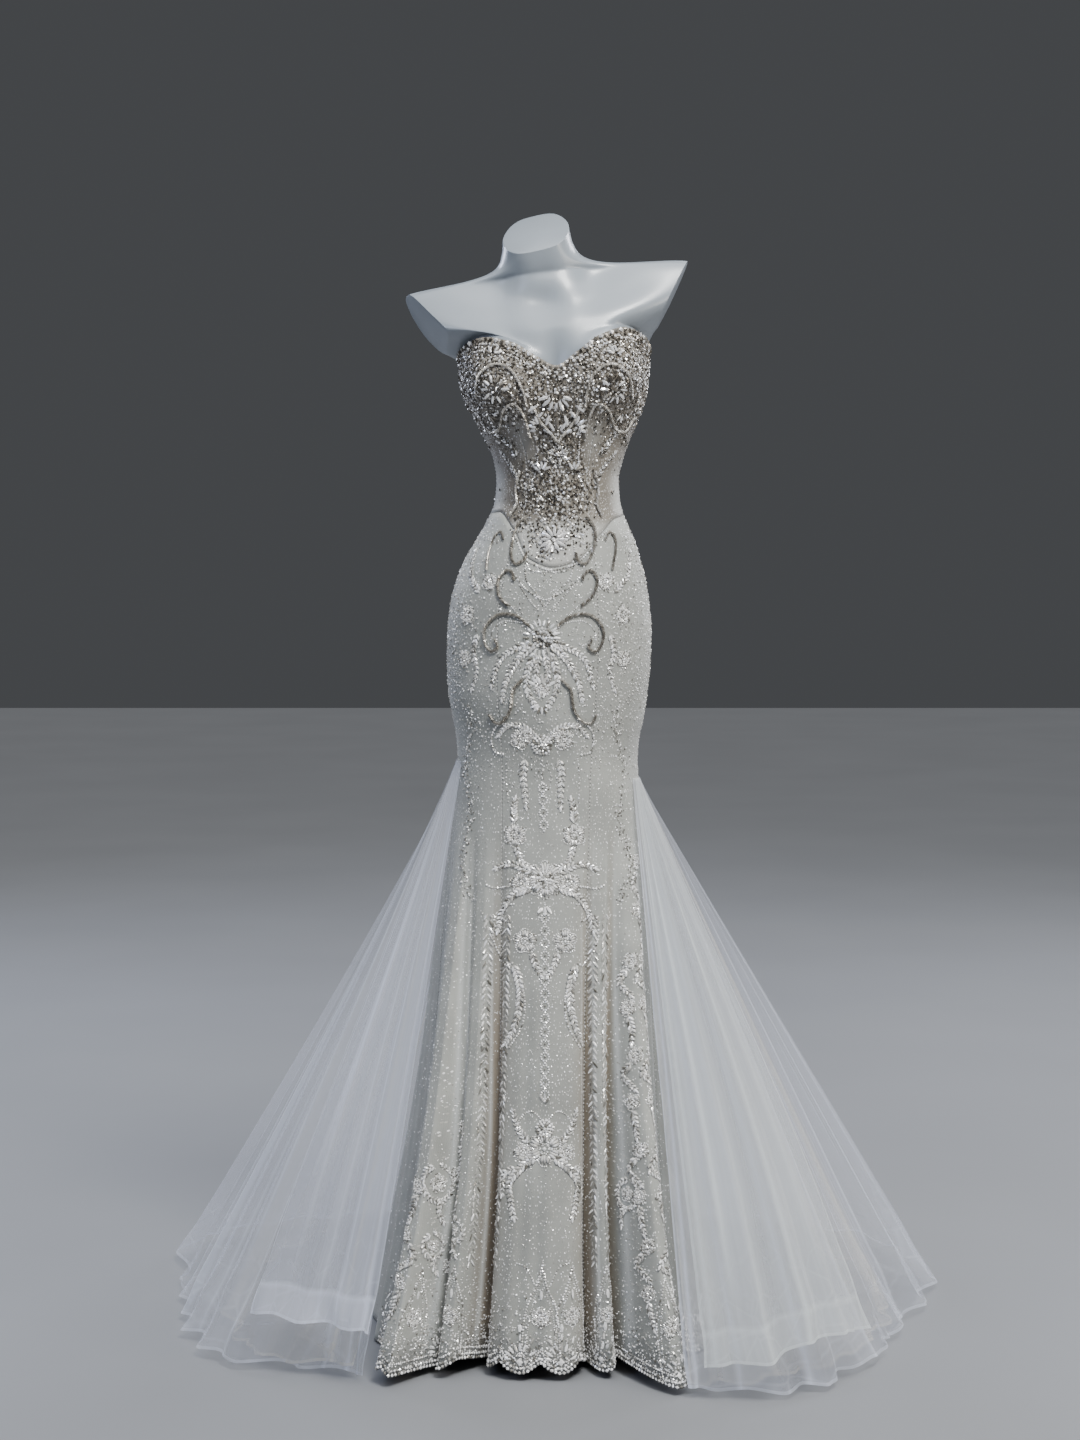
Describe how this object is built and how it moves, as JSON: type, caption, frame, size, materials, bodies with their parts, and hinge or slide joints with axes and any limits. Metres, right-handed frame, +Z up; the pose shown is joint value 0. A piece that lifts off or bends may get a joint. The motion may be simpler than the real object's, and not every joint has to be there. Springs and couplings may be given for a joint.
{
  "type": "mermaid gown on a limbless dress form",
  "caption": "Strapless beaded mermaid gown with a sweetheart neckline and tulle side fans, worn by a limbless dress form on a round stand.",
  "frame": {"origin": "middle of the stand plate's underside, on the floor", "axes": "+Z up, the gown's front faces -Y, +X to the right of someone who looks at the front"},
  "size_m": [1.1945, 0.9862, 1.6118],
  "materials": {
    "form": "glossy cool-white painted glass fibre",
    "steel": "brushed steel",
    "bodice": "fine net over pale lining, covered in silver beadwork",
    "lace": "beaded lace on net over pale ivory lining",
    "tulle": "soft sheer tulle",
    "beadwork": "rhinestones, pearls and bugle beads"
  },
  "bodies": {
    "root": {"bodice_back_left": "bodice", "bodice_back_right": "bodice", "bodice_front": "bodice", "bodice_side_front_left": "bodice", "bodice_side_front_right": "bodice", "form_torso": "form", "medallion_hem": "beadwork", "medallion_hip": "beadwork", "medallion_knee": "beadwork", "medallion_skirt": "beadwork", "medallion_waist": "beadwork", "neckline_trim": "beadwork", "skirt_back_left": "lace", "skirt_back_right": "lace", "skirt_front": "lace", "skirt_side_front_left": "lace", "skirt_side_front_right": "lace", "stand_flange": "steel", "stand_plate": "steel", "stand_pole": "steel", "tulle_fan_left": "tulle", "tulle_fan_right": "tulle", "tulle_overlay_left": "tulle", "tulle_overlay_right": "tulle", "tulle_train": "tulle"}
  },
  "joints": []
}
